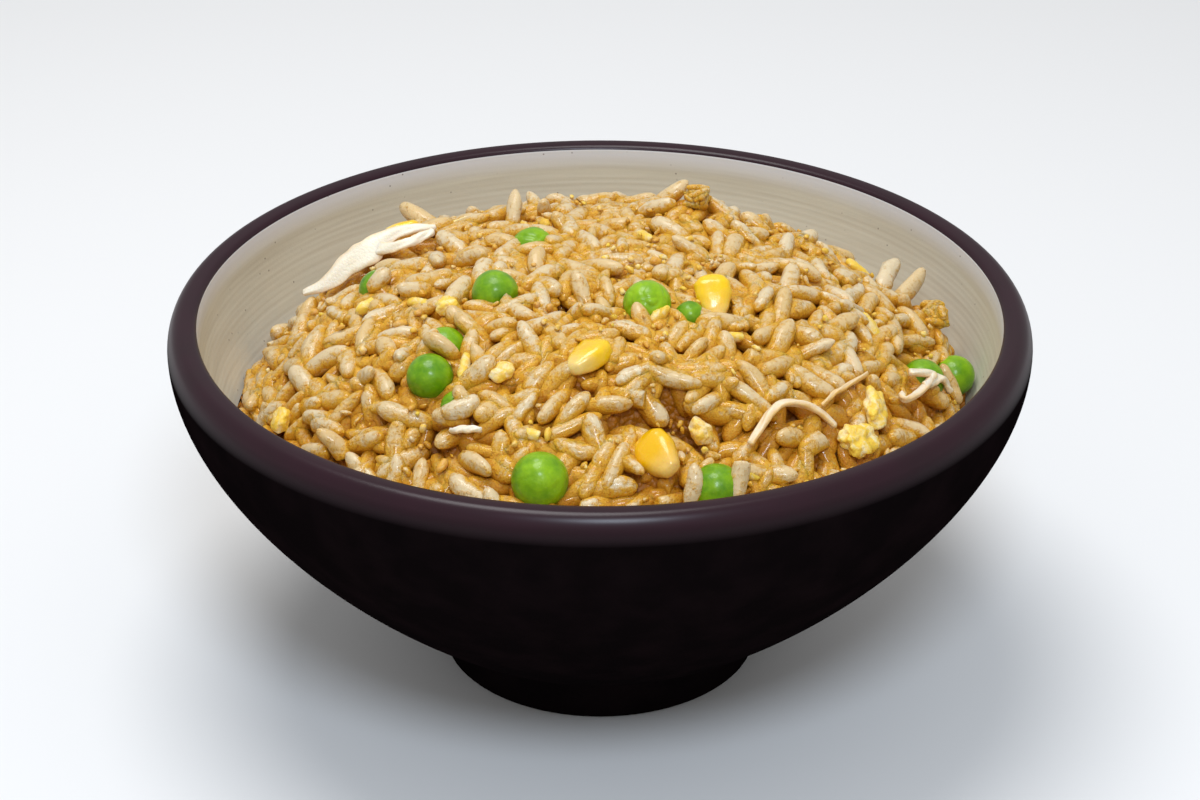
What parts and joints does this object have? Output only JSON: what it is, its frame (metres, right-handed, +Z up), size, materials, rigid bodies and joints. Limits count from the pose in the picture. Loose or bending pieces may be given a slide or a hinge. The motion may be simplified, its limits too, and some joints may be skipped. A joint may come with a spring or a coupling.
{
  "type": "bowl of fried rice",
  "caption": "Round footed stoneware bowl with a rolled dark lip and pale inside, filled with a domed heap of fried rice with peas, corn, egg and shredded chicken.",
  "frame": {"origin": "on the table plane under the middle of the bowl's foot", "axes": "+Z up along the bowl's turning axis; the pictured side faces -Y"},
  "size_m": [0.1646, 0.1646, 0.0877],
  "materials": {
    "stoneware": "glazed stoneware: near-black satin outside and lip, beige inside",
    "rice": "cooked rice tossed in soy sauce and oil, moist sheen",
    "pea": "cooked green pea, moist",
    "corn": "cooked sweetcorn kernel, glossy skin",
    "egg": "scrambled egg, soft and crumbly",
    "crust": "browned egg and rice crust",
    "chicken": "pale cooked shred, fibrous"
  },
  "bodies": {
    "root": {"bowl": "stoneware", "chicken_shred_curl": "chicken", "chicken_shred_long": "chicken", "chicken_sliver_front": "chicken", "corn_back_left": "corn", "corn_crown": "corn", "corn_front": "corn", "corn_middle": "corn", "crust_peak": "crust", "crust_right": "crust", "egg_chunk_right": "egg", "egg_crumb_front": "egg", "egg_crumb_left": "egg", "egg_crumb_middle": "egg", "egg_crumb_rim": "egg", "egg_curd_right": "egg", "egg_ribbon_front": "egg", "egg_ribbon_right": "egg", "pea_beside_corn": "pea", "pea_crown": "pea", "pea_far_left": "pea", "pea_front_left": "pea", "pea_front_right": "pea", "pea_left": "pea", "pea_left_covered": "pea", "pea_left_crown": "pea", "pea_left_small": "pea", "pea_middle": "pea", "pea_right": "pea", "pea_right_wall": "pea", "rice_heap": "rice"}
  },
  "joints": []
}
